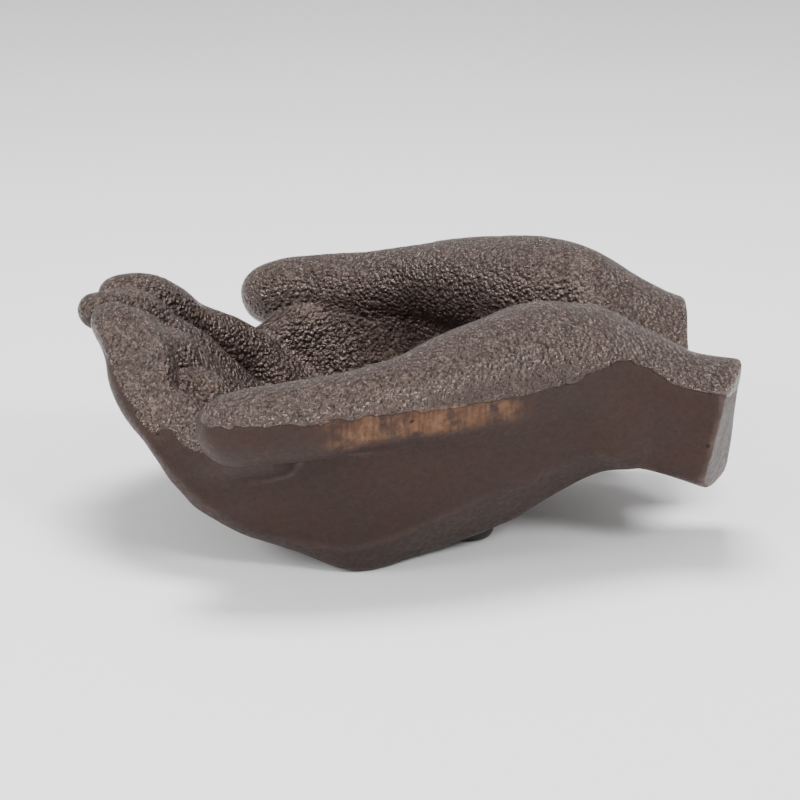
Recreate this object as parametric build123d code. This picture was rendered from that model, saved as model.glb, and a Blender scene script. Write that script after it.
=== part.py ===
from build123d import *
import math
import os

# A dish in the form of two cupped hands, cast in iron in one pour, standing on four
# self-adhesive rubber bumpers. Millimetres. +Z is up, the fingertips point to -X, the
# wrists to +X, the left hand is at -Y and the right hand at +Y. The origin lies on the
# table, midway between the wrist ends and the fingertips.

# ---- driving dimensions -------------------------------------------------------------
pair_length = 197.0         # fingertips to the cut ends of the wrists
pair_width = 156.0          # across the outer sides of the two thumbs
pair_height = 76.0          # table to the top of the thumb bases
palm_wall = 8.0             # iron under the palms and in their outer sides
rim_radius = 9.0            # half the thickness of the rounded rim
finger_girth = 1.0          # thickness of all fingers, 1 is an adult's
thumb_girth = 1.0           # thickness of both thumbs
wrist_half_width = 22.0     # half the width of a wrist at its cut end
wrist_half_height = 19.5    # half the height of a wrist at its cut end
wrist_setback = 10.5        # how much shorter the right wrist is cut

foot_diameter = 16.0        # rubber bumper
foot_height = 3.6           # rubber bumper, without its adhesive
foot_side = 0.4             # straight side of a bumper, above the rounding that makes its dome
adhesive_thickness = 0.5    # foam-backed adhesive disc on each bumper
seat_margin = 1.0           # how far a cast seat stands out around its adhesive disc
front_feet_x = -30.0        # row of feet under the fingers
back_feet_x = 21.0          # row of feet under the heels of the hands
front_feet_w = 22.0         # from the middle plane to the front feet
back_feet_w = 20.0          # from the middle plane to the back feet

# The hands' shape is drawn at these overall sizes and stretched to the ones above.
drawn_length = 197.0
drawn_width = 156.0
drawn_height = 76.0

# ---- palms --------------------------------------------------------------------------
# Cross-sections of both palms together, from the finger roots to the wrists.
# Each holds: x, then the half width and the height of the rim's crown, of the corner
# between the side and the back of the hand, and of the knuckle line underneath, then
# the height of the groove between the hands and of the palm's floor on the middle plane.
palm_sections = [
    (-56, (52, 44), (54, 27), (34, 17), 17, 27),
    (-36, (63, 59), (61, 18), (38, 9), 10, 21),
    (-10, (64, 64), (61, 15), (42, 6), 9, 19),
    (16, (55, 71), (57, 19), (38, 7), 9, 22),
    (40, (41, 76), (50, 26), (31, 11), 15, 30),
    (58, (31, 75), (45, 34), (27, 23), 26, 44),
    (72, (26, 68), (42, 38), (26, 26), 31, 50),
]

# ---- fingers, thumbs and wrists -----------------------------------------------------
# Centres along each limb: x, distance from the middle plane, height, radius. The right
# middle finger crosses over the left one.
left_fingers = {
    "index": [(10, 45, 15, 8), (-12, 48, 14.5, 11.5), (-33, 49.5, 18.5, 10.5), (-53, 47, 28, 10.5),
              (-69, 37, 45.5, 9.4), (-84, 18.5, 63.5, 7.5)],
    "middle": [(8, 33, 14, 8), (-16, 35, 13.5, 11), (-38, 36, 16.5, 10), (-57, 32, 33, 10),
               (-70, 21, 51.5, 9.4), (-84, 8.5, 60.5, 7)],
    "ring": [(10, 21, 13, 8), (-12, 22, 13, 10.5), (-36, 22, 15, 9.5), (-57, 19, 27, 9.5),
             (-71, 10, 46, 8.5), (-79, 4, 56, 7)],
    "little": [(14, 9, 15, 7), (-8, 9, 15, 9), (-28, 9, 16, 8.5), (-48, 8, 24, 8),
               (-61, 5, 37, 7.5), (-69, 3, 48, 6.5)],
}
right_fingers = {
    "index": [(10, 45, 15, 8), (-12, 48, 14.5, 11.5), (-33, 49.5, 19.5, 10.5), (-53, 46, 33, 10.5),
              (-71, 31, 50, 9), (-87, 15.5, 64, 7)],
    "middle": [(8, 33, 14, 8), (-16, 35, 13.5, 11), (-38, 35, 16.5, 10), (-60, 26, 31, 9.6),
               (-77, 9, 53, 8.8), (-92, 1.5, 64, 6.8)],
    "ring": left_fingers["ring"],
    "little": left_fingers["little"],
}
thumb = [(78, 26, 47, 12), (60, 30, 54, 17), (42, 37, 58.5, 17.5), (15, 52.5, 58, 13.5),
         (-12, 64, 54, 11.3), (-32, 67.2, 51.5, 10.7), (-43, 67.5, 50, 9.6)]
wrist_crease = (60, 24, 50)         # centre of the wrist at its crease
wrist_end = (93, 31, 40)            # centre of its cut end
crease_half_width = 20.0
crease_half_height = 22.0
wrist_droop = 12.0                  # degrees that the cut end faces down
wrist_splay = 10.0                  # degrees that it faces outwards

stretch_x = pair_length / drawn_length
stretch_w = pair_width / drawn_width
stretch_z = pair_height / drawn_height
seat_plane = foot_height + adhesive_thickness
tip_share = 0.45                    # a fingertip's last small circle, as a share of its radius
tip_reach = 0.8                     # how far ahead of the last centre it lies


def at(x, w, z, side=1):
    """A drawn point, stretched to the overall sizes, on the side of one hand."""
    return Vector(x * stretch_x, side * w * stretch_w, z * stretch_z)


def palm_outline(section):
    """The closed cross-section of both palms: a thick-walled cup."""
    x, (rim_w, rim_z), (side_w, side_z), (base_w, base_z), groove_z, floor_z = section
    rim_w, side_w, base_w = (w * stretch_w for w in (rim_w, side_w, base_w))
    rim_z, side_z, base_z, groove_z, floor_z = (
        z * stretch_z for z in (rim_z, side_z, base_z, groove_z, floor_z))
    lift = (floor_z - groove_z) - palm_wall
    half = [
        (base_w * 0.5, (groove_z + base_z) / 2 - 1),
        (base_w, base_z),
        (side_w, side_z),
        (rim_w + rim_radius * 0.9, rim_z - rim_radius * 1.4),
        (rim_w, rim_z),
        (rim_w - rim_radius * 1.1, rim_z - rim_radius * 1.2),
        (side_w - palm_wall * 1.9, side_z + palm_wall + lift * 0.9),
        (base_w * 0.45, base_z + palm_wall + lift * 0.9),
    ]
    right = [(x * stretch_x, w, z) for w, z in half]
    left = [(x * stretch_x, -w, z) for w, z in reversed(half)]
    bottom = [(x * stretch_x, 0, groove_z)]
    floor = [(x * stretch_x, 0, floor_z)]
    return Face(Wire([Edge.make_spline([Vector(*p) for p in bottom + right + floor + left],
                                       periodic=True)]))


def limb(centres, side, girth=1.0):
    """A finger or a thumb: circles along its joints, closed by a small one at its tip."""
    points = [at(x, w, z, side) for x, w, z, _ in centres]
    radii = [radius * girth for _, _, _, radius in centres]
    ahead = (points[-1] - points[-2]).normalized()
    points.append(points[-1] + ahead * radii[-1] * tip_reach)
    radii.append(radii[-1] * tip_share)
    rings = []
    for i, (point, radius) in enumerate(zip(points, radii)):
        before = points[max(i - 1, 0)]
        after = points[min(i + 1, len(points) - 1)]
        rings.append(Plane(origin=point, z_dir=after - before, x_dir=(0, 0, 1)) * Circle(radius))
    return loft(rings)


def wrist(side):
    """The stump of a forearm, cut off at a slant."""
    setback = wrist_setback if side > 0 else 0.0
    start = at(*wrist_crease, side)
    end = at(*wrist_end, side) - Vector(setback, 0, 0)
    facing = Vector(
        math.cos(math.radians(wrist_droop)) * math.cos(math.radians(wrist_splay)),
        side * math.cos(math.radians(wrist_droop)) * math.sin(math.radians(wrist_splay)),
        -math.sin(math.radians(wrist_droop)))
    middle = start * 0.45 + end * 0.55
    narrow_width = (crease_half_width + wrist_half_width) / 2 * 0.93
    narrow_height = (crease_half_height + wrist_half_height) / 2 * 0.96
    across = (0, 1, 0)
    return loft([
        Plane(origin=start, x_dir=across, z_dir=(1, 0, 0))
        * Ellipse(crease_half_width, crease_half_height),
        Plane(origin=middle, x_dir=across, z_dir=(end - start))
        * Ellipse(narrow_width, narrow_height),
        Plane(origin=end, x_dir=across, z_dir=facing)
        * Ellipse(wrist_half_width, wrist_half_height),
    ])


def foot_places():
    """Name and centre of each foot, on the table."""
    for row, x, w in (("front", front_feet_x, front_feet_w), ("back", back_feet_x, back_feet_w)):
        for hand, side in (("left", -1), ("right", 1)):
            yield f"{row}_{hand}", (x * stretch_x, side * w * stretch_w)


def disc(radius, low, high, place):
    """An upright round disc between two heights."""
    return Pos(place[0], place[1], low) * Cylinder(
        radius, high - low, align=(Align.CENTER, Align.CENTER, Align.MIN))


def casting():
    """Both hands, with a flat seat for each foot."""
    body = loft([palm_outline(section) for section in palm_sections])
    for side, fingers in ((-1, left_fingers), (1, right_fingers)):
        for centres in fingers.values():
            body += limb(centres, side, finger_girth)
        body += limb(thumb, side, thumb_girth)
        body += wrist(side)
    seat_radius = foot_diameter / 2 + seat_margin
    seat_root = seat_plane + palm_wall
    for _, place in foot_places():
        body += disc(seat_radius, seat_plane, seat_root, place)
        body -= disc(seat_radius, -pair_height, seat_plane, place)
    return body


def bumper(place):
    """A domed rubber bumper: flat on top, rounded towards the table."""
    body = disc(foot_diameter / 2, 0, foot_height, place)
    return fillet(body.edges().sort_by(Axis.Z)[0], foot_height - foot_side)


def adhesive(place):
    """The round adhesive disc between a bumper and its seat."""
    return disc(foot_diameter / 2, foot_height, seat_plane, place)


os.makedirs("parts", exist_ok=True)
export_step(casting(), "parts/cupped_hands_casting.step")
for name, place in foot_places():
    export_step(bumper(place), f"parts/rubber_foot_{name}.step")
    export_step(adhesive(place), f"parts/foot_adhesive_{name}.step")
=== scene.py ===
# %% [markdown]
# # A dish of two cupped hands
#
# The real object is one iron casting in the shape of two hands held palms up, side by
# side. It stands on four stick-on rubber bumpers. The iron was poured into a sand mould,
# so its skin is grainy, and here and there a grinding wheel has cleaned the edge where
# the two halves of the mould met.
#
# The frame below holds the casting's size, place and feet. Everything that follows is
# fitted to it: this script shapes and finishes, and never moves or resizes.

# %% Load the frame
import bpy
import math
import numpy as np
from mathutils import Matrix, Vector


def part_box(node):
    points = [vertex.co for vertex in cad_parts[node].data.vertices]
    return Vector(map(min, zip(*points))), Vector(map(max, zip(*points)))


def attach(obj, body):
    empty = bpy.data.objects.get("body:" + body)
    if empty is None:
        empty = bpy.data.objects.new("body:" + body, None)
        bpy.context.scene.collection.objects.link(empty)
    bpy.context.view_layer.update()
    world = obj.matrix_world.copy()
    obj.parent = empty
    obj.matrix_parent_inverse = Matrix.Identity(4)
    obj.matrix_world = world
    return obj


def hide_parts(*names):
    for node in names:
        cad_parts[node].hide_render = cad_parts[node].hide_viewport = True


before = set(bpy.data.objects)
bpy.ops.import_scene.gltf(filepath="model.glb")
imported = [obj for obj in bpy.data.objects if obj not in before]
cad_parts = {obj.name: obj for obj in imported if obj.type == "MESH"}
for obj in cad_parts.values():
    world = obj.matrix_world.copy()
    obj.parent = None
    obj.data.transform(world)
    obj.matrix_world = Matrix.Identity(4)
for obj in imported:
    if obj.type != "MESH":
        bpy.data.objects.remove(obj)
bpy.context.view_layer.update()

MM = 0.001
casting_low, casting_high = (np.array(corner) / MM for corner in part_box("cupped_hands_casting"))
print("casting in mm, low and high:", casting_low.round(1), casting_high.round(1))

# %% [markdown]
# ## The camera, the floor and the light
#
# The camera stands low and to the side of the left hand, far enough away that the dish is
# seen with little perspective, as in a catalogue. A lamp overhead gives the highlight along
# the rims, one from the left and one from the right pick out the grain of the skin, and an
# even white sky keeps the dark side of the iron readable. The floor is pale and plain.

# %% Camera
CAMERA_AZIMUTH = math.radians(1.7)
CAMERA_ELEVATION = math.radians(18.5)
CAMERA_DISTANCE = 0.75
CAMERA_TARGET = Vector((0.0, 0.0, 0.036))
SENSOR_WIDTH = 36.0
PIXELS_PER_MM = 3.26
FRAME_PIXELS = 800

camera_data = bpy.data.cameras.new("camera")
camera_data.sensor_width = SENSOR_WIDTH
camera_data.lens = SENSOR_WIDTH * PIXELS_PER_MM * CAMERA_DISTANCE / MM / FRAME_PIXELS
camera = bpy.data.objects.new("camera", camera_data)
bpy.context.scene.collection.objects.link(camera)
backwards = Vector((math.sin(CAMERA_AZIMUTH) * math.cos(CAMERA_ELEVATION),
                    -math.cos(CAMERA_AZIMUTH) * math.cos(CAMERA_ELEVATION),
                    math.sin(CAMERA_ELEVATION)))
camera.location = CAMERA_TARGET + backwards * CAMERA_DISTANCE
camera.rotation_euler = backwards.to_track_quat("Z", "Y").to_euler()
bpy.context.scene.camera = camera
print("lens in mm:", round(camera_data.lens, 1))

# %% Lamps
LIT_POINT = Vector((0.0, 0.0, 0.03))


def area_lamp(name, place, size, watts):
    """A square soft lamp that faces the middle of the dish."""
    data = bpy.data.lights.new(name, "AREA")
    data.size = size
    data.energy = watts
    lamp = bpy.data.objects.new(name, data)
    bpy.context.scene.collection.objects.link(lamp)
    lamp.location = place
    lamp.rotation_euler = (Vector(place) - LIT_POINT).to_track_quat("Z", "Y").to_euler()


area_lamp("overhead_lamp", (0.0, 0.1, 0.95), 0.35, 12.0)
area_lamp("left_lamp", (-0.9, -0.55, 0.6), 0.5, 9.0)
area_lamp("key_lamp", (0.75, -0.8, 0.85), 0.3, 12.0)

world = bpy.data.worlds.new("studio")
world.use_nodes = True
world.node_tree.nodes["Background"].inputs["Color"].default_value = (1.0, 1.0, 1.0, 1.0)
world.node_tree.nodes["Background"].inputs["Strength"].default_value = 0.65
bpy.context.scene.world = world

# %% Floor
def plane_mesh(name, half_side, height):
    """A square sheet as a mesh."""
    mesh = bpy.data.meshes.new(name)
    corners = [(-half_side, -half_side, height), (half_side, -half_side, height),
               (half_side, half_side, height), (-half_side, half_side, height)]
    mesh.from_pydata(corners, [], [(0, 1, 2, 3)])
    return mesh


floor = bpy.data.objects.new("floor", plane_mesh("floor", 3.0, 0.0))
bpy.context.scene.collection.objects.link(floor)
floor_finish = bpy.data.materials.new("floor")
floor_finish.use_nodes = True
floor_shader = floor_finish.node_tree.nodes["Principled BSDF"]
floor_shader.inputs["Base Color"].default_value = (0.93, 0.93, 0.93, 1.0)
floor_shader.inputs["Roughness"].default_value = 0.8
floor.data.materials.append(floor_finish)

# %% [markdown]
# ## The shape of the hands
#
# A hand has no flat faces and no straight edges, so it is not built from panels. It could
# be sculpted by hand, but a script is read better when the shape is a formula: here it is
# a distance field. At each point of a fine grid the field says how far the nearest skin of
# the casting is, negative inside the iron. A finger is the field of a few round-ended
# cones, two fields join with a soft fillet where a blended minimum is taken, and a palm is
# hollowed with a blended maximum. Where the field is zero, the skin is meshed.
#
# Points are given for one hand in millimetres: x along the hand, w outwards from the
# middle plane to the thumb, z up. They are stretched to the casting's box.

# %% Blending fields
def blend_min(a, b, width):
    """The union of two fields with a fillet of about that width."""
    share = np.clip(0.5 + 0.5 * (b - a) / width, 0, 1)
    return b * (1 - share) + a * share - width * share * (1 - share)


def blend_max(a, b, width):
    """What two fields have in common, with a rounded edge of about that width."""
    return -blend_min(-a, -b, width)


def cone_field(points, start, end):
    """The distance to a round-ended cone between two balls, each (x, w, z, radius)."""
    start, end = np.array(start, float), np.array(end, float)
    axis = end[:3] - start[:3]
    length = np.linalg.norm(axis)
    axis = axis / length
    offset = points - start[:3]
    along = offset @ axis
    aside = np.sqrt(np.maximum((offset * offset).sum(-1) - along * along, 0))
    taper = np.clip((start[3] - end[3]) / length, -0.95, 0.95)
    slope = math.sqrt(1 - taper * taper)
    reach = along * slope - aside * taper
    near_start = np.hypot(along, aside) - start[3]
    near_end = np.hypot(along - length, aside) - end[3]
    between = aside * slope + along * taper - start[3]
    return np.where(reach < 0, near_start, np.where(reach > length * slope, near_end, between))


def rounded_path(balls, pieces=3):
    """More balls between the given ones, on a smooth curve through them."""
    balls = np.array(balls, float)
    padded = np.vstack([2 * balls[0] - balls[1], balls, 2 * balls[-1] - balls[-2]])
    path = []
    for before, here, there, after in zip(padded, padded[1:], padded[2:], padded[3:]):
        for step in range(pieces):
            t = step / pieces
            path.append(0.5 * (2 * here + (there - before) * t
                               + (2 * before - 5 * here + 4 * there - after) * t ** 2
                               + (3 * here - before - 3 * there + after) * t ** 3))
    return np.array(path + [balls[-1]])


def add_limb(field, points, balls, fillet, flat=None):
    """Joins a smooth tapered limb to the field, working only near it.

    flat is (direction, share): the limb is planed off on that side at that share of its radius.
    """
    path = rounded_path(balls)
    reach = path[:, 3:].max() + 14
    lows, highs = path[:, :3].min(0) - reach, path[:, :3].max(0) + reach
    window = []
    for axis, (low_side, high_side) in enumerate(zip(lows, highs)):
        line = [0, 0, 0]
        line[axis] = slice(None)
        values = points[tuple(line)][:, axis]
        near = np.flatnonzero((values > low_side) & (values < high_side))
        window.append(slice(near[0], near[-1] + 1))
    window = tuple(window)
    close = points[window]
    limb = None
    for start, end in zip(path[:-1], path[1:]):
        cone = cone_field(close, start, end)
        limb = cone if limb is None else blend_min(limb, cone, 0.6)
    if flat:
        limb = blend_max(limb, planed_side(close, path, *flat), 0.8)
    result = field.copy()
    width = fillet if np.isscalar(fillet) else fillet[window]
    result[window] = blend_min(field[window], limb, width)
    return result


def planed_side(points, path, direction, share):
    """Height above a ruled face that follows a limb, at a share of its radius."""
    direction = np.array(direction, float) / np.linalg.norm(direction)
    total, level = 1e-9, 0
    for ball in path:
        offset = points - ball[:3]
        weight = np.exp(-(offset * offset).sum(-1) / 80)
        total = total + weight
        level = level + weight * (ball[:3] @ direction + share * ball[3])
    return np.where(total > 1e-4, points @ direction - level / total, -20)


def profile(x, stations, column, softness=3.0):
    """One value of a row of stations, smoothed along the hand."""
    fine = np.arange(-130.0, 131.0)
    values = np.interp(fine, [row[0] for row in stations], [row[column] for row in stations])
    reach = np.arange(-20, 21)
    weights = np.exp(-0.5 * (reach / softness) ** 2)
    values = np.convolve(np.pad(values, 20, mode="edge"), weights / weights.sum(), "valid")
    return np.interp(x, fine, values)


def side_of(w, z, w_from, z_from, w_to, z_to):
    """Signed distance to a line in cross-section. Right of the way from-to is outside."""
    run, rise = w_to - w_from, z_to - z_from
    return ((w - w_from) * rise - (z - z_from) * run) / np.hypot(run, rise)


# %% [markdown]
# ### The palms and the backs of the hands
#
# Each station holds x, then the (w, z) of three lines that run along the hand: the parting
# line where the mould opened, the edge between the side and the back of the hand, and the
# knuckle line on which the hand rests; then the groove between the hands, the thickness
# of the iron, and the height at which the palm stops under the thumb.

# %% Palms
#   x, parting w z, edge w z, knuckle w z, groove z, wall, top
PALM_STATIONS = [
    (-66, 48, 46, 46, 29, 42, 23, 24, 8.0, 45),
    (-60, 52, 44, 48, 23.5, 46, 17, 18, 8.0, 41),
    (-50, 56, 43, 54, 18.0, 49, 12, 12, 7.5, 39),
    (-43, 59, 44, 55, 14.5, 49.5, 9, 10, 7.3, 42),
    (-31, 62, 45, 55, 11.0, 48, 5.0, 8, 7.0, 49),
    (-14, 65, 48, 57.5, 9.0, 52.5, -0.8, 8, 7.0, 51),
    (-6, 66, 50, 57.5, 11.0, 50.5, -1.3, 8, 7.0, 55),
    (5, 65, 53, 55.5, 15.0, 43.5, 0.9, 8, 7.0, 58),
    (19, 61, 54, 53, 20.5, 36, 3.0, 10, 8.0, 61),
    (32, 55, 55, 50, 26, 32.5, 6.8, 12, 11.0, 63),
    (47, 49, 57, 46, 32.5, 31, 16, 19, 16.0, 64),
    (62, 45, 60, 44, 36, 31, 25, 28, 24.0, 62),
    (75, 42, 56, 41, 36, 30, 24, 30, 30.0, 56),
]


def palm_field(points):
    """The cup of one palm, without its fingers and thumb."""
    x, w, z = points[..., 0], points[..., 1], points[..., 2]
    values = [profile(x, PALM_STATIONS, column) for column in range(1, 10)]
    part_w, part_z, edge_w, edge_z, knuckle_w, knuckle_z, groove_z, wall, top = values
    side = side_of(w, z, edge_w, edge_z, part_w, part_z)
    back = side_of(w, z, knuckle_w, knuckle_z, edge_w, edge_z)
    under = side_of(w, z, 0 * w, groove_z, knuckle_w, knuckle_z)
    outside = blend_max(blend_max(side, back, 1.5), under, 4.0)
    inside = blend_max(blend_max(side, back, 22.0), under, 16.0)
    ends = np.maximum(-64 - x, x - 72)
    body = blend_max(blend_max(outside, z - top, 8.0), ends, 6.0)
    body = blend_max(body, -w - 2, 1.0)
    return blend_max(body, -(inside + wall), 4.0)


# %% [markdown]
# ### Fingers, thumb and wrist
#
# Each ball is (x, w, z, radius). A finger has a ball at its knuckle, one at each joint and
# one in its tip, and a fuller one in the middle of each pad.

# %% Limbs of one hand
LEFT_FINGERS = {
    "index": [(0, 40, 14, 8), (-14, 42, 13.5, 9), (-33, 45, 17.5, 9), (-50, 46, 26.5, 10),
              (-60, 45, 36.5, 9.8), (-65.5, 41.5, 42.5, 9.4), (-72, 37, 46, 8),
              (-74.3, 31, 52.5, 9.9), (-76.6, 25.5, 57.8, 9.4), (-81, 20.5, 62.5, 7.6),
              (-85, 17.5, 65, 6)],
    "middle": [(2, 33, 13, 9), (-16, 34, 12, 10.5), (-38, 35, 14, 10), (-50, 32, 24.5, 10.5),
               (-56, 28, 36.5, 10.6), (-59.5, 24.5, 42.5, 10.2), (-66, 21.5, 46.5, 7.8),
               (-69.5, 16.5, 52.3, 10.2), (-74, 12, 54.5, 7.6), (-78, 9, 57.8, 7.8),
               (-84.5, 6.5, 59.5, 6.2)],
    "ring": [(4, 21, 14, 9), (-12, 22, 12, 10), (-34, 22, 14, 9.5), (-48, 21.5, 23, 9.6),
             (-58, 18, 34, 9.4), (-66, 12.5, 45, 8.8), (-73, 7, 53, 7.6), (-78, 4, 57, 6)],
    "little": [(8, 9, 16, 8), (-8, 9, 15, 9), (-28, 9, 16, 8.5), (-44, 8.5, 22, 8.5),
               (-54, 6, 31, 8.2), (-62, 3.5, 41, 7.8), (-67, 1, 49, 6.6)],
}
RIGHT_FINGERS = {
    "index": [(0, 40, 14, 8), (-14, 42, 13.5, 9), (-32, 45, 19, 9), (-46, 47, 29, 10),
              (-54, 45, 36, 10.2), (-61, 39.5, 42, 9.8), (-67, 34.5, 46.5, 9.3),
              (-70.5, 30.5, 50, 9), (-74, 25.5, 55, 9.4), (-78, 21, 60, 8.7),
              (-82.5, 17.5, 63, 7.2), (-88, 15, 64, 6)],
    "middle": [(2, 33, 13, 9), (-16, 34, 12, 10.5), (-38, 33, 14, 10), (-52, 28.5, 24, 10),
               (-62, 22, 34, 9.2), (-69.5, 16.5, 41, 8.8), (-73, 12, 48, 8.2),
               (-75.5, 8.5, 53.5, 8.4), (-80, 4.5, 60, 8.3), (-85, 1.5, 63, 7.2), (-92.4, -1, 64, 5.7)],
    "ring": LEFT_FINGERS["ring"],
    "little": LEFT_FINGERS["little"],
}
WEB = [(-60, 46, 32, 6.5), (-50, 51, 34, 6), (-43, 56, 37.5, 6.5), (-34, 60, 41, 7)]
THUMB = [(66, 30.5, 50.3, 15.5), (53, 34.5, 59, 16), (42, 37, 60.7, 17), (30, 44.5, 59.7, 16),
         (17, 52.5, 58.7, 14), (5, 59.5, 56.7, 12), (-10, 64.5, 54.2, 11), (-25, 67.5, 52.2, 11),
         (-38, 69, 50.8, 10.5), (-44.5, 69, 49.6, 10)]
INDEX_FLAT = ((0.12, 0.94, 0.30), 0.62)
CREASE_FILLETS = {"index": 0.4, "middle": 0.5, "ring": 2.5, "little": 3.5}


def wrist_field(points, setback):
    """A forearm stump with a flat top, side and back, cut off at a slant."""
    x, w, z = points[..., 0], points[..., 1], points[..., 2]
    stations = [(60, 30, 74, 44, 60, 44, 34, 26, 24), (70, 27, 69, 41, 59.5, 41, 30, 26, 25),
                (84, 28.5, 64, 43.5, 56, 43.5, 27, 26, 20), (99, 30, 62, 48, 52, 46, 23, 26, 15)]
    values = [profile(x, stations, column, 3.0) for column in range(1, 9)]
    crown_w, crown_z, edge_w, edge_z, low_w, low_z, base_w, base_z = values
    top = side_of(w, z, edge_w, edge_z, crown_w, crown_z)
    side = side_of(w, z, low_w, low_z, edge_w, edge_z)
    back = side_of(w, z, base_w, base_z, low_w, low_z)
    inner_top = side_of(w, z, crown_w, crown_z, crown_w - 22, crown_z - 16)
    inner = side_of(w, z, crown_w - 22, crown_z - 16, crown_w - 22, base_z)
    under = side_of(w, z, crown_w - 22, base_z + 3, base_w, base_z)
    field = blend_max(blend_max(top, inner_top, 10.0), side, 2.0)
    field = blend_max(blend_max(field, back, 3.0), blend_max(inner, under, 8.0), 8.0)
    cut = (x - 99.5 + setback + 0.36 * w - 0.22 * z) / 1.085
    cut = blend_max(cut, x - 100.3 + setback, 1.5)
    return blend_max(blend_max(field, cut, 1.2), 58 - x, 6.0)


def hand_field(points, finger_table, setback=0.0):
    """One whole hand. A setback cuts its wrist shorter."""
    palm = palm_field(points)
    x = points[..., 0]
    fingers = np.full(x.shape, 40.0)
    for name in ("little", "ring", "middle", "index"):
        flat = INDEX_FLAT if name == "index" else None
        fingers = add_limb(fingers, points, finger_table[name], CREASE_FILLETS[name], flat)
    palm = add_limb(palm, points, WEB, 5.0)
    field = blend_min(palm, fingers, 3.0)
    field = blend_min(field, wrist_field(points, setback), 4.0)
    thumb_fillet = 2.0 + 8.0 * np.clip((x + 20) / 40, 0, 1)
    return add_limb(field, points, THUMB, thumb_fillet)


# %% [markdown]
# ### From field to mesh
#
# The grid is cut where the field changes sign. Each grid cell on the skin gets one point,
# at the mean of the places where the field crosses zero on the cell's edges, and
# neighbouring cells are joined by four-sided faces. This gives even, closed quads.

# %% Meshing
def skin_of(field, low, step):
    """Points and four-sided faces of the zero level of a field on a grid."""
    inside = field < 0
    cells = tuple(n - 1 for n in field.shape)
    corners = [(i, j, k) for i in (0, 1) for j in (0, 1) for k in (0, 1)]
    count = np.zeros(cells, np.int8)
    for i, j, k in corners:
        count += inside[i:i + cells[0], j:j + cells[1], k:k + cells[2]]
    active = (count > 0) & (count < 8)
    where = np.argwhere(active)
    index = np.full(cells, -1)
    index[active] = np.arange(len(where))
    total = np.zeros((len(where), 3))
    hits = np.zeros(len(where))
    for a in corners:
        for axis in range(3):
            if a[axis]:
                continue
            b = tuple(1 if i == axis else a[i] for i in range(3))
            value_a = field[tuple((where + a).T)]
            value_b = field[tuple((where + b).T)]
            crosses = (value_a < 0) != (value_b < 0)
            share = np.where(crosses, value_a / np.where(crosses, value_a - value_b, 1), 0)
            place = np.array(a) + np.outer(share, np.eye(3)[axis])
            total += np.where(crosses[:, None], place, 0)
            hits += crosses
    verts = (where + total / hits[:, None]) * step + low
    faces = []
    for axis in range(3):
        first = [slice(1, -1)] * 3
        second = [slice(1, -1)] * 3
        first[axis], second[axis] = slice(0, -1), slice(1, None)
        starts_inside = inside[tuple(first)]
        crosses = starts_inside != inside[tuple(second)]
        cell = np.argwhere(crosses)
        u, v = [i for i in range(3) if i != axis]
        cell[:, [u, v]] += 1
        ring = []
        for du, dv in ((1, 1), (0, 1), (0, 0), (1, 0)):
            corner = cell.copy()
            corner[:, u] -= du
            corner[:, v] -= dv
            ring.append(index[tuple(corner.T)])
        quads = np.stack(ring, 1)
        outward = starts_inside[crosses] != (axis == 1)
        quads[~outward] = quads[~outward][:, ::-1]
        faces.append(quads)
    return verts, np.concatenate(faces)


GRID_STEP = 1.25
RIGHT_SETBACK = 11.5
DRAWN_LOW = np.array([-98.1, -77.9, 2.3])
DRAWN_HIGH = np.array([98.5, 77.9, 76.2])
EDGE = 5 * GRID_STEP
stretch = (casting_high - casting_low) / (DRAWN_HIGH - DRAWN_LOW)
FOOT_NAMES = [f"{end}_{side}" for end in ("front", "back") for side in ("left", "right")]
LOWEST_SKIN = 0.7
SEAT_RISE = 10.0
SEAT_DRAFT = 0.25
SEAT_CLEARING = 4.0
CLEARING_SLOPE = 0.4


def both_hands(grid_axes):
    """The left and right hand in one field: w is -y on the left and +y on the right."""
    x, y, z = np.meshgrid(*grid_axes, indexing="ij")
    hands = []
    for side, fingers, setback in ((-1, LEFT_FINGERS, 0.0), (1, RIGHT_FINGERS, RIGHT_SETBACK)):
        near = np.flatnonzero(side * grid_axes[1] > -16)
        span = slice(near[0], near[-1] + 1)
        points = np.stack([x[:, span], side * y[:, span], z[:, span]], -1)
        hand = np.full(x.shape, 40.0)
        hand[:, span] = hand_field(points, fingers, setback)
        hands.append(hand)
    return blend_max(seated(blend_min(*hands, 1.0), x, y, z), LOWEST_SKIN - z, 1.0)


def seated(field, x, y, z):
    """A flat, round seat under the casting for each bumper, level with its adhesive disc."""
    for name in FOOT_NAMES:
        low, high = (np.array(corner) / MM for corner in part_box("foot_adhesive_" + name))
        middle, radius = (low + high) / 2, (high[0] - low[0]) / 2
        aside = np.hypot(x - middle[0], y - middle[1]) - radius
        above = z - high[2]
        seat = np.maximum(np.maximum(aside - SEAT_DRAFT * above, -above), above - SEAT_RISE)
        field = blend_min(field, seat, 1.5)
        ceiling = above - CLEARING_SLOPE * np.maximum(aside, 0)
        field = blend_max(field, -np.maximum(aside - SEAT_CLEARING, ceiling), 0.4)
    return field


grid_axes = [np.arange(low - EDGE, high + EDGE, GRID_STEP)
             for low, high in ((-99, 101), (-80, 80), (0, 79))]
field = both_hands(grid_axes)
grid_low = np.array([axis[0] for axis in grid_axes])
verts, quads = skin_of(field, grid_low, GRID_STEP)
print("skin:", len(verts), "points,", len(quads), "faces")


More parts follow.
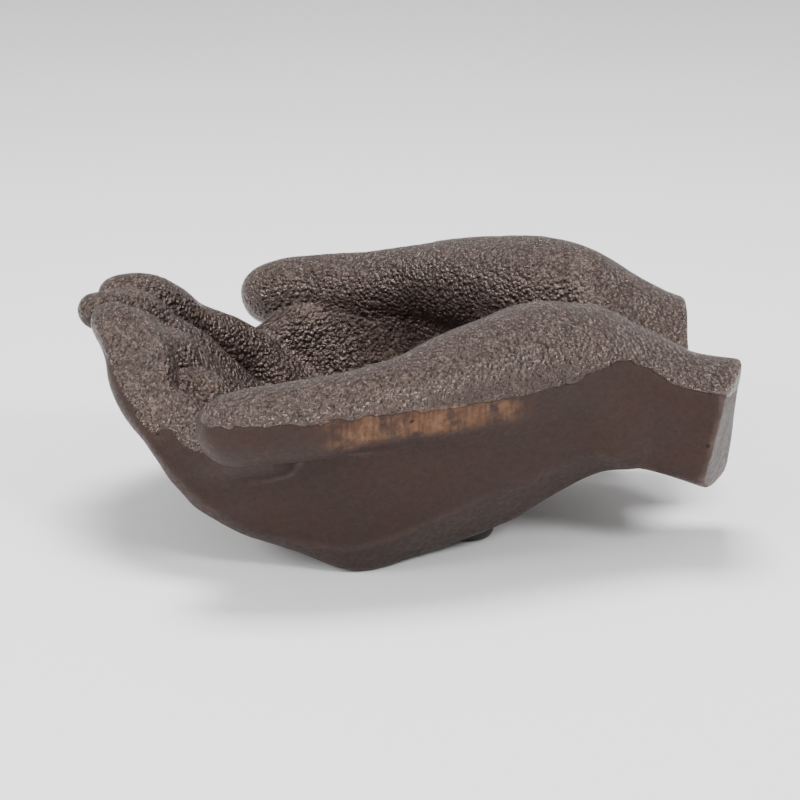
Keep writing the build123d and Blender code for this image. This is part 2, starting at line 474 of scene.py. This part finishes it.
# %% Sampling the field at the skin
def sample(field, places):
    """The field's value at any places, blended from the eight grid points around each."""
    position = (places - grid_low) / GRID_STEP
    cell = np.clip(np.floor(position).astype(int), 0, np.array(field.shape) - 2)
    part = position - cell
    value = 0
    for i in (0, 1):
        for j in (0, 1):
            for k in (0, 1):
                weight = (np.where(i, part[:, 0], 1 - part[:, 0])
                          * np.where(j, part[:, 1], 1 - part[:, 1])
                          * np.where(k, part[:, 2], 1 - part[:, 2]))
                value = value + weight * field[cell[:, 0] + i, cell[:, 1] + j, cell[:, 2] + k]
    return value


def slope_at(field, places, reach):
    """The unit direction in which the field grows: straight out of the skin."""
    slope = np.stack([sample(field, places + reach * step) - sample(field, places - reach * step)
                      for step in np.eye(3)], -1)
    return slope / np.maximum(np.linalg.norm(slope, axis=1, keepdims=True), 1e-9)


def relaxed(verts, quads, rounds):
    """Evens out the faces, and puts each point back on the skin."""
    edges = np.concatenate([quads[:, [i, (i + 1) % 4]] for i in range(4)])
    for _ in range(rounds):
        total = np.zeros_like(verts)
        count = np.zeros(len(verts))
        np.add.at(total, edges[:, 0], verts[edges[:, 1]])
        np.add.at(count, edges[:, 0], 1)
        verts = 0.5 * verts + 0.5 * total / count[:, None]
        verts = verts - slope_at(field, verts, 0.6 * GRID_STEP) * sample(field, verts)[:, None]
    return verts


verts = relaxed(verts, quads, 2)
outwards = slope_at(field, verts, 1.5)

# %% [markdown]
# ### What the skin looks like where
#
# Iron poured into sand comes out rough where the sand was loose. Here the upper half of
# the mould made the coarse skin, and the lower half, packed against a board, the smoother
# one. They meet at the parting line, which runs where the side of the casting is widest:
# where the skin turns from looking up to looking down. Five attributes are stored at the
# points for the material to read: coarse (which half of the mould), openness (how far the
# skin is from hollows, which darkens the colour as painted shade), sharpness (thin edges,
# made paler for wear and for a painted highlight), ground (where the parting line was
# cleaned on a wheel) and ridge (the edge between the side and the back, which gets a
# painted highlight).

# %% Attributes
def smooth_step(value, low, high):
    """0 below low, 1 above high, and a soft rise between."""
    share = np.clip((value - low) / (high - low), 0, 1)
    return share * share * (3 - 2 * share)


#   x, height of the parting line on the thumb side, then on the index finger
PARTING_SIDE = [(-58, 50), (-54, 53.5), (-40, 54), (-26, 54.5), (-1, 56.5), (21, 57), (38, 57.5),
                (50, 59.5), (63, 64), (67, 63.8), (75, 59), (82, 55), (93, 53), (99, 52)]
PARTING_INDEX = [(-86, 59.5), (-81, 58.5), (-79, 55), (-75, 51), (-71, 48), (-68, 46),
                 (-62.5, 40.5), (-57, 39.5), (-50, 39), (-40, 39)]


def height_of(line, x):
    """The height of a parting line at x."""
    return np.interp(x, [point[0] for point in line], [point[1] for point in line])


x, w, z = verts[:, 0], np.abs(verts[:, 1]), verts[:, 2]
faces_middle = -outwards[:, 1] * np.sign(verts[:, 1])
on_index = (x < -45) & (w < 58)
parting = np.where(on_index, height_of(PARTING_INDEX, x), height_of(PARTING_SIDE, x))
inner_end = smooth_step(x, 60, 82)
faces_in = np.minimum(faces_middle * 8 - 0.5, (z - 20) / 3) - 1.5 * inner_end
above = np.where(x < -62, np.minimum(z - parting, outwards[:, 2] * 8 + 1), z - parting)
coarse = np.clip(np.maximum(above / 1.2, faces_in) + 0.5, -1, 2)
coarse = np.where((outwards[:, 2] > 0.5) & (z > 10) & (w < 56) & (x < 60), 2, coarse)
# The ridge marks the edge between side and back, where the iron colour gets a painted highlight.
edge_gap = np.hypot(w - profile(x, PALM_STATIONS, 3), z - profile(x, PALM_STATIONS, 4))
ridge = np.exp(-(edge_gap / 1.2) ** 2) * smooth_step(x, -40, -28) * smooth_step(-x, -34, -20)
ridge = ridge * smooth_step(-faces_middle, -0.1, 0.2)
# openness is small close to hollows; the iron colour darkens there as painted shade.
openness = sum(sample(field, verts + outwards * reach) / reach for reach in (2.5, 5.0, 9.0)) / 3
# sharpness is high on thin convex edges; the iron colour is paler there, for wear and as a painted
# highlight.
sharpness = 1 + sample(field, verts - outwards * 2.0) / 2.0
ground_reach = np.interp(x, [-20, -8, 40], [11.0, 9.0, 8.0])
ground = smooth_step(z - parting + ground_reach, -1.5, 3) * smooth_step(parting + 0.5 - z, -1, 1)
ground = ground * smooth_step(x, -24, -10) * smooth_step(-x, -40, -32) * (faces_middle < -0.2)


# %% Uneven skin
def lattice_noise(places, size, seed):
    """Smooth random heights from -1 to 1, with lumps of about that many millimetres."""
    rng = np.random.default_rng(seed)
    table = rng.uniform(-1, 1, (32, 32, 32))
    position = places / size
    cell = np.floor(position).astype(int)
    part = position - cell
    part = part * part * (3 - 2 * part)
    value = 0
    for corner in np.ndindex(2, 2, 2):
        share = np.prod(np.where(corner, part, 1 - part), axis=1)
        value = value + share * table[tuple(((cell + corner) % 32).T)]
    return value


rough_share = np.clip(coarse, 0, 1)
swell = 0.35 * lattice_noise(verts, 17.0, 3) + 0.18 * lattice_noise(verts, 7.5, 4)
grit = 0.10 * lattice_noise(verts, 3.4, 5) * (0.25 + 0.75 * rough_share)
free = smooth_step(z, 4.6, 8.0)
verts = verts + outwards * ((swell + grit + 0.15 * rough_share) * free)[:, None]

# %% Casting
casting_mesh = bpy.data.meshes.new("hands_casting")
casting_mesh.from_pydata((verts * stretch * MM).tolist(), [], quads.tolist())
casting_mesh.shade_smooth()
for name, values in (("coarse", coarse), ("openness", openness), ("sharpness", sharpness),
                     ("ground", ground), ("ridge", ridge)):
    layer = casting_mesh.attributes.new(name, "FLOAT", "POINT")
    layer.data.foreach_set("value", values.astype(np.float32))
casting = bpy.data.objects.new("hands_casting", casting_mesh)
bpy.context.scene.collection.objects.link(casting)
print("casting in mm:", (verts * stretch).min(0).round(1), (verts * stretch).max(0).round(1))

# %% [markdown]
# ## Cast iron
#
# Bare cast iron that has been oiled or lacquered is a dark grey brown. It is not mirror
# bright: light catches on thousands of grains. The colour and the grain are made from
# noise in the piece's own coordinates, and mixed by the attributes above. The colour also
# holds painted light: painted shade in hollows, pinholes and grain valleys, and painted
# highlight on the high points of the grain and on edges.

# %% Node helpers
class Nodes:
    """A short way to add and join shader nodes."""

    def __init__(self, material):
        material.use_nodes = True
        self.tree = material.node_tree
        self.shader = self.tree.nodes["Principled BSDF"]
        self.place = self.add("ShaderNodeTexCoord").outputs["Object"]

    def add(self, kind, settings=None, inputs=None):
        node = self.tree.nodes.new(kind)
        for name, value in (settings or {}).items():
            setattr(node, name, value)
        for name, value in (inputs or {}).items():
            self.feed(node.inputs[name], value)
        return node

    def feed(self, socket, value):
        if isinstance(value, bpy.types.NodeSocket):
            self.tree.links.new(value, socket)
        else:
            socket.default_value = value

    def noise(self, size, detail=2.0, roughness=0.5, distortion=0.0):
        """Noise whose lumps are about that many millimetres across."""
        return self.add("ShaderNodeTexNoise", None, {
            "Vector": self.place, "Scale": 1 / (size * MM), "Detail": detail,
            "Roughness": roughness, "Distortion": distortion}).outputs["Fac"]

    def cells(self, size):
        """Distance to the middle of cells about that many millimetres across."""
        return self.add("ShaderNodeTexVoronoi", None, {
            "Vector": self.place, "Scale": 1 / (size * MM)}).outputs["Distance"]

    def attribute(self, name):
        return self.add("ShaderNodeAttribute", {"attribute_name": name}).outputs["Fac"]

    def remap(self, value, low, high, to_low=0.0, to_high=1.0, smooth=True):
        kind = "SMOOTHSTEP" if smooth else "LINEAR"
        return self.add("ShaderNodeMapRange", {"interpolation_type": kind}, {
            "Value": value, "From Min": low, "From Max": high,
            "To Min": to_low, "To Max": to_high}).outputs["Result"]

    def maths(self, operation, *values):
        node = self.add("ShaderNodeMath", {"operation": operation})
        for socket, value in zip(node.inputs, values):
            self.feed(socket, value)
        return node.outputs["Value"]

    def blend(self, share, first, second):
        node = self.add("ShaderNodeMix", {"data_type": "FLOAT"})
        self.feed(node.inputs[0], share)
        self.feed(node.inputs[2], first)
        self.feed(node.inputs[3], second)
        return node.outputs[0]

    def colour_mix(self, share, first, second):
        node = self.add("ShaderNodeMix", {"data_type": "RGBA"})
        self.feed(node.inputs[0], share)
        self.feed(node.inputs[6], first)
        self.feed(node.inputs[7], second)
        return node.outputs[2]


# %% Iron
IRON_BROWN = (0.031, 0.0160, 0.0135, 1.0)
IRON_GREY = (0.028, 0.0175, 0.0150, 1.0)
IRON_DARK = (0.005, 0.0026, 0.0021, 1.0)
IRON_WORN_AND_HIGHLIT = (0.088, 0.064, 0.056, 1.0)
IRON_GLINT = (0.120, 0.086, 0.072, 1.0)
IRON_TAWNY = (0.062, 0.036, 0.020, 1.0)
RUST = (0.120, 0.050, 0.021, 1.0)
RUST_PALE = (0.185, 0.098, 0.053, 1.0)


def iron_grain(n, coarse):
    """Heights of the skin: a wrinkled sand texture above, orange peel below, and pits."""
    grain = n.maths("SUBTRACT", 1.0, n.cells(1.25))
    wrinkles = n.noise(1.5, 2.5, 0.55, 0.8)
    fine = n.noise(0.42, 3.0, 0.7)
    lumps = n.noise(2.6, 3.0, 0.6)
    rough = n.maths("ADD", n.maths("MULTIPLY", grain, 0.75), n.maths("MULTIPLY", lumps, 0.8))
    rough = n.maths("ADD", rough, n.maths("MULTIPLY", wrinkles, 0.9))
    rough = n.maths("ADD", rough, n.maths("MULTIPLY", fine, 0.12))
    peel = n.maths("ADD", n.maths("MULTIPLY", fine, 0.26), n.maths("MULTIPLY", lumps, 0.16))
    peel = n.maths("ADD", peel, n.maths("MULTIPLY", wrinkles, 0.10))
    height = n.blend(coarse, peel, rough)
    pits = n.remap(n.maths("ADD", n.cells(7.0), n.remap(n.noise(9.0, 1.0), 0.35, 0.6, 0.0, 0.3)),
                   0.06, 0.11, 1.0, 0.0)
    height = n.maths("SUBTRACT", height, n.maths("MULTIPLY", pits, 0.6))
    height = n.maths("ADD", height, n.maths("MULTIPLY", coarse, 0.5))
    return height, pits, wrinkles, fine


def iron_colour(n, coarse, pits, wrinkles, fine):
    """Brown and grey patches, painted shade in hollows, pinholes and grain valleys, paler on edges for
    wear and painted highlight, painted glints on the grain, rusty where it was ground.
    """
    patches = n.remap(n.noise(14.0, 4.0, 0.6), 0.35, 0.65)
    colour = n.colour_mix(patches, IRON_BROWN, IRON_GREY)
    tawny = n.maths("MULTIPLY", n.remap(n.noise(11.0, 3.0, 0.6), 0.56, 0.70), coarse)
    colour = n.colour_mix(n.maths("MULTIPLY", tawny, 0.6), colour, IRON_TAWNY)
    mottle = n.remap(n.noise(1.3, 4.0, 0.75), 0.42, 0.62, 0.0, 0.30)
    colour = n.colour_mix(mottle, colour, IRON_DARK)
    # Painted shade: the colour darkens towards IRON_DARK where the skin is close to hollows.
    painted_hollow_shade = n.remap(n.attribute("openness"), 0.20, 0.75, 0.35, 0.0)
    colour = n.colour_mix(painted_hollow_shade, colour, IRON_DARK)
    # Painted shade in the low parts of the coarse grain: darker where the grain's heights are low.
    painted_grain_valley_shade = n.remap(n.maths("ADD", wrinkles, n.maths("MULTIPLY", fine, 0.6)), 0.66, 0.86, 0.9, 0.0)
    colour = n.colour_mix(n.maths("MULTIPLY", coarse, painted_grain_valley_shade), colour, IRON_DARK)
    # Thin edges and the side-back ridge are made paler: partly wear on the edges, partly a painted
    # highlight.
    edge_wear_and_highlight_mask = n.maths("MAXIMUM", n.remap(n.attribute("sharpness"), 0.12, 0.32),
                    n.maths("MULTIPLY", n.attribute("ridge"), 0.4))
    patchy_wear_and_highlight = n.maths("MULTIPLY", edge_wear_and_highlight_mask, n.remap(n.noise(3.0, 3.0), 0.25, 0.6, 0.45, 1.0))
    colour = n.colour_mix(n.maths("MULTIPLY", patchy_wear_and_highlight, 0.75), colour, IRON_WORN_AND_HIGHLIT)
    # Painted glints: the high points of the coarse grain are made paler.
    painted_glint_on_grain = n.maths("MULTIPLY", coarse, n.remap(wrinkles, 0.54, 0.66))
    colour = n.colour_mix(n.maths("MULTIPLY", painted_glint_on_grain, 0.35), colour, IRON_GLINT)
    streaks = n.add("ShaderNodeTexNoise", None, {
        "Vector": n.add("ShaderNodeMapping", None, {
            "Vector": n.place, "Scale": (1100.0, 200.0, 110.0)}).outputs["Vector"],
        "Scale": 1.0, "Detail": 3.0}).outputs["Fac"]
    marks = n.maths("MULTIPLY", n.remap(streaks, 0.30, 0.62, 0.35, 1.0),
                    n.remap(n.noise(6.0, 4.0, 0.65), 0.34, 0.56))
    ground = n.maths("MULTIPLY", n.attribute("ground"), marks)
    rust = n.colour_mix(n.remap(n.noise(2.6, 4.0, 0.65), 0.4, 0.62), RUST, RUST_PALE)
    colour = n.colour_mix(n.maths("MULTIPLY", ground, 0.8), colour, rust)
    # The pinholes are darkened towards IRON_DARK: painted shade in them.
    return n.colour_mix(n.maths("MULTIPLY", pits, 0.8), colour, IRON_DARK)


def cast_iron():
    """Oiled brown iron: grainy above the parting line, smoother below it."""
    material = bpy.data.materials.new("cast_iron")
    n = Nodes(material)
    wander = n.remap(n.noise(5.0, 3.0), 0.3, 0.7, -0.6, 0.6, smooth=False)
    coarse = n.remap(n.maths("ADD", n.attribute("coarse"), wander), 0.35, 0.65)
    height, pits, wrinkles, fine = iron_grain(n, coarse)
    bump = n.add("ShaderNodeBump", None, {"Strength": 1.0, "Distance": 0.0013, "Height": height})
    n.feed(n.shader.inputs["Normal"], bump.outputs["Normal"])
    n.feed(n.shader.inputs["Base Color"], iron_colour(n, coarse, pits, wrinkles, fine))
    sheen = n.remap(n.noise(1.6, 2.0), 0.3, 0.7, 0.38, 0.54)
    n.feed(n.shader.inputs["Roughness"], n.maths("SUBTRACT", sheen, n.maths("MULTIPLY", coarse, 0.16)))
    n.feed(n.shader.inputs["Specular IOR Level"], n.remap(coarse, 0.0, 1.0, 0.30, 0.85))
    n.shader.inputs["Specular Tint"].default_value = (1.0, 0.80, 0.72, 1.0)
    return material


casting.data.materials.append(cast_iron())
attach(casting, "root")
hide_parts("cupped_hands_casting")

# %% [markdown]
# ## The rubber bumpers and their adhesive discs
#
# Stick-on bumpers are moulded in one size and pressed on by hand, so all four are the same
# turned shape: a flat top on the adhesive, a slightly tapered side, a rounded rim and a
# shallow dimple left by the mould. One bumper is turned from a profile, and a small
# geometry node tree sets a copy on each of four points with its own turn, as a hand would.
# The discs under them are cut from foam tape, and are made by the same tree.

# %% One turned piece
TURNED_SIDES = 64


def turned_mesh(name, profile_points):
    """A closed mesh turned round z from (radius, height) points, axis to axis."""
    angles = np.linspace(0, 2 * math.pi, TURNED_SIDES, endpoint=False)
    rings = [(radius * np.cos(angles), radius * np.sin(angles), np.full(TURNED_SIDES, height))
             for radius, height in profile_points[1:-1]]
    points = [(0, 0, profile_points[0][1])]
    for ring in rings:
        points.extend(zip(*ring))
    points.append((0, 0, profile_points[-1][1]))
    faces = []
    for side in range(TURNED_SIDES):
        after = (side + 1) % TURNED_SIDES
        faces.append((0, 1 + after, 1 + side))
        for ring in range(len(rings) - 1):
            base = 1 + ring * TURNED_SIDES
            faces.append((base + side, base + after, base + TURNED_SIDES + after,
                          base + TURNED_SIDES + side))
        base = 1 + (len(rings) - 1) * TURNED_SIDES
        faces.append((base + side, base + after, len(points) - 1))
    mesh = bpy.data.meshes.new(name)
    mesh.from_pydata(points, [], faces)
    mesh.shade_smooth()
    return mesh


def rounded(radius, height, bend, start, end, steps=7):
    """Points of a quarter bend round (radius, height) from one angle to another."""
    return [(radius + bend * math.cos(angle), height + bend * math.sin(angle))
            for angle in np.radians(np.linspace(start, end, steps))]


foot_boxes = [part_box("rubber_foot_" + name) for name in FOOT_NAMES]
disc_boxes = [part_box("foot_adhesive_" + name) for name in FOOT_NAMES]
foot_radius = (foot_boxes[0][1][0] - foot_boxes[0][0][0]) / 2
foot_height = foot_boxes[0][1][2] - foot_boxes[0][0][2]
disc_radius = (disc_boxes[0][1][0] - disc_boxes[0][0][0]) / 2
disc_height = disc_boxes[0][1][2] - disc_boxes[0][0][2]
RIM_ROUND = 0.0024
TOP_ROUND = 0.0003
DIMPLE = 0.0014
bumper_profile = [(0, 0.0003), (0.6 * DIMPLE, 0.00022), (DIMPLE, 0)]
bumper_profile += [(0.55 * foot_radius, 0)]
bumper_profile += rounded(foot_radius - RIM_ROUND - 0.0001, RIM_ROUND, RIM_ROUND, -90, -4)
bumper_profile += rounded(foot_radius - TOP_ROUND, foot_height - TOP_ROUND, TOP_ROUND, 0, 90, 4)
bumper_profile += [(0.6 * foot_radius, foot_height), (0, foot_height)]
DISC_SHRINK = 0.0002
disc_profile = [(0, 0), (0.5 * disc_radius, 0), (disc_radius - DISC_SHRINK, 0),
                (disc_radius, 0.25 * disc_height), (disc_radius - DISC_SHRINK / 2, 0.5 * disc_height),
                (disc_radius, 0.8 * disc_height), (disc_radius - DISC_SHRINK, disc_height),
                (0.5 * disc_radius, disc_height), (0, disc_height)]
print("bumper in mm, radius and height:", round(foot_radius / MM, 2), round(foot_height / MM, 2))

# %% Copies on points
def copies_tree(name):
    """Sets a copy of an object on each point, each turned differently, with one material."""
    tree = bpy.data.node_groups.new(name, "GeometryNodeTree")
    face = tree.interface
    face.new_socket("Geometry", in_out="INPUT", socket_type="NodeSocketGeometry")
    face.new_socket("Piece", in_out="INPUT", socket_type="NodeSocketObject")
    face.new_socket("Material", in_out="INPUT", socket_type="NodeSocketMaterial")
    face.new_socket("Seed", in_out="INPUT", socket_type="NodeSocketInt")
    face.new_socket("Geometry", in_out="OUTPUT", socket_type="NodeSocketGeometry")
    start = tree.nodes.new("NodeGroupInput")
    info = tree.nodes.new("GeometryNodeObjectInfo")
    turn = tree.nodes.new("FunctionNodeRandomValue")
    turn.data_type = "FLOAT_VECTOR"
    turn.inputs["Min"].default_value = (0, 0, 0)
    turn.inputs["Max"].default_value = (0, 0, 2 * math.pi)
    copies = tree.nodes.new("GeometryNodeInstanceOnPoints")
    realize = tree.nodes.new("GeometryNodeRealizeInstances")
    paint = tree.nodes.new("GeometryNodeSetMaterial")
    end = tree.nodes.new("NodeGroupOutput")
    for source, target in ((start.outputs["Geometry"], copies.inputs["Points"]),
                           (start.outputs["Piece"], info.inputs["Object"]),
                           (info.outputs["Geometry"], copies.inputs["Instance"]),
                           (start.outputs["Seed"], turn.inputs["Seed"]),
                           (turn.outputs[0], copies.inputs["Rotation"]),
                           (copies.outputs["Instances"], realize.inputs["Geometry"]),
                           (realize.outputs["Geometry"], paint.inputs["Geometry"]),
                           (start.outputs["Material"], paint.inputs["Material"]),
                           (paint.outputs["Geometry"], end.inputs["Geometry"])):
        tree.links.new(source, target)
    return tree


def copied(name, piece_mesh, boxes, tree, material, seed):
    """One plain mesh object with a copy of the piece standing in each box."""
    piece = bpy.data.objects.new(name + "_one", piece_mesh)
    bpy.context.scene.collection.objects.link(piece)
    points = bpy.data.meshes.new(name + "_points")
    points.from_pydata([((low[0] + high[0]) / 2, (low[1] + high[1]) / 2, low[2])
                        for low, high in boxes], [], [])
    holder = bpy.data.objects.new(name + "_holder", points)
    bpy.context.scene.collection.objects.link(holder)
    modifier = holder.modifiers.new("copies", "NODES")
    modifier.node_group = tree
    sockets = {item.name: item.identifier for item in tree.interface.items_tree
               if item.in_out == "INPUT"}
    modifier[sockets["Piece"]] = piece
    modifier[sockets["Material"]] = material
    modifier[sockets["Seed"]] = seed
    bpy.context.view_layer.update()
    evaluated = holder.evaluated_get(bpy.context.evaluated_depsgraph_get())
    mesh = bpy.data.meshes.new_from_object(evaluated)
    mesh.name = name
    result = bpy.data.objects.new(name, mesh)
    bpy.context.scene.collection.objects.link(result)
    bpy.data.objects.remove(holder)
    bpy.data.objects.remove(piece)
    return result


# %% Rubber and foam
def black_rubber():
    """Moulded black rubber: nearly matt, with dust in its fine grain."""
    material = bpy.data.materials.new("black_rubber")
    n = Nodes(material)
    fine = n.noise(0.35, 2.0)
    marks = n.noise(2.2, 3.0, 0.6)
    dust = n.remap(marks, 0.5, 0.75, 0.0, 0.5)
    n.feed(n.shader.inputs["Base Color"],
           n.colour_mix(dust, (0.012, 0.012, 0.013, 1.0), (0.035, 0.033, 0.031, 1.0)))
    n.feed(n.shader.inputs["Roughness"], n.remap(marks, 0.3, 0.7, 0.38, 0.6))
    bump = n.add("ShaderNodeBump", None, {"Strength": 0.6, "Distance": 0.0001, "Height": fine})
    n.feed(n.shader.inputs["Normal"], bump.outputs["Normal"])
    return material


def adhesive_foam():
    """Grey-white foam tape with open cells in its cut edge."""
    material = bpy.data.materials.new("adhesive_foam")
    n = Nodes(material)
    cells = n.cells(0.22)
    n.feed(n.shader.inputs["Base Color"],
           n.colour_mix(n.remap(cells, 0.1, 0.6), (0.09, 0.085, 0.08, 1.0), (0.30, 0.29, 0.27, 1.0)))
    n.shader.inputs["Roughness"].default_value = 0.85
    bump = n.add("ShaderNodeBump", None, {"Strength": 0.8, "Distance": 0.0001, "Height": cells})
    n.feed(n.shader.inputs["Normal"], bump.outputs["Normal"])
    return material


# %% Bumpers and discs
copies = copies_tree("copies_on_points")
bumpers = copied("bumpers", turned_mesh("bumper", bumper_profile), foot_boxes, copies,
                 black_rubber(), 11)
discs = copied("adhesive_discs", turned_mesh("disc", disc_profile), disc_boxes, copies,
               adhesive_foam(), 12)
for piece, part, slot in ((bumpers, "rubber_foot_", "black_rubber"),
                          (discs, "foot_adhesive_", "adhesive_foam")):
    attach(piece, "root")
    for name in FOOT_NAMES:
        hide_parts(part + name)
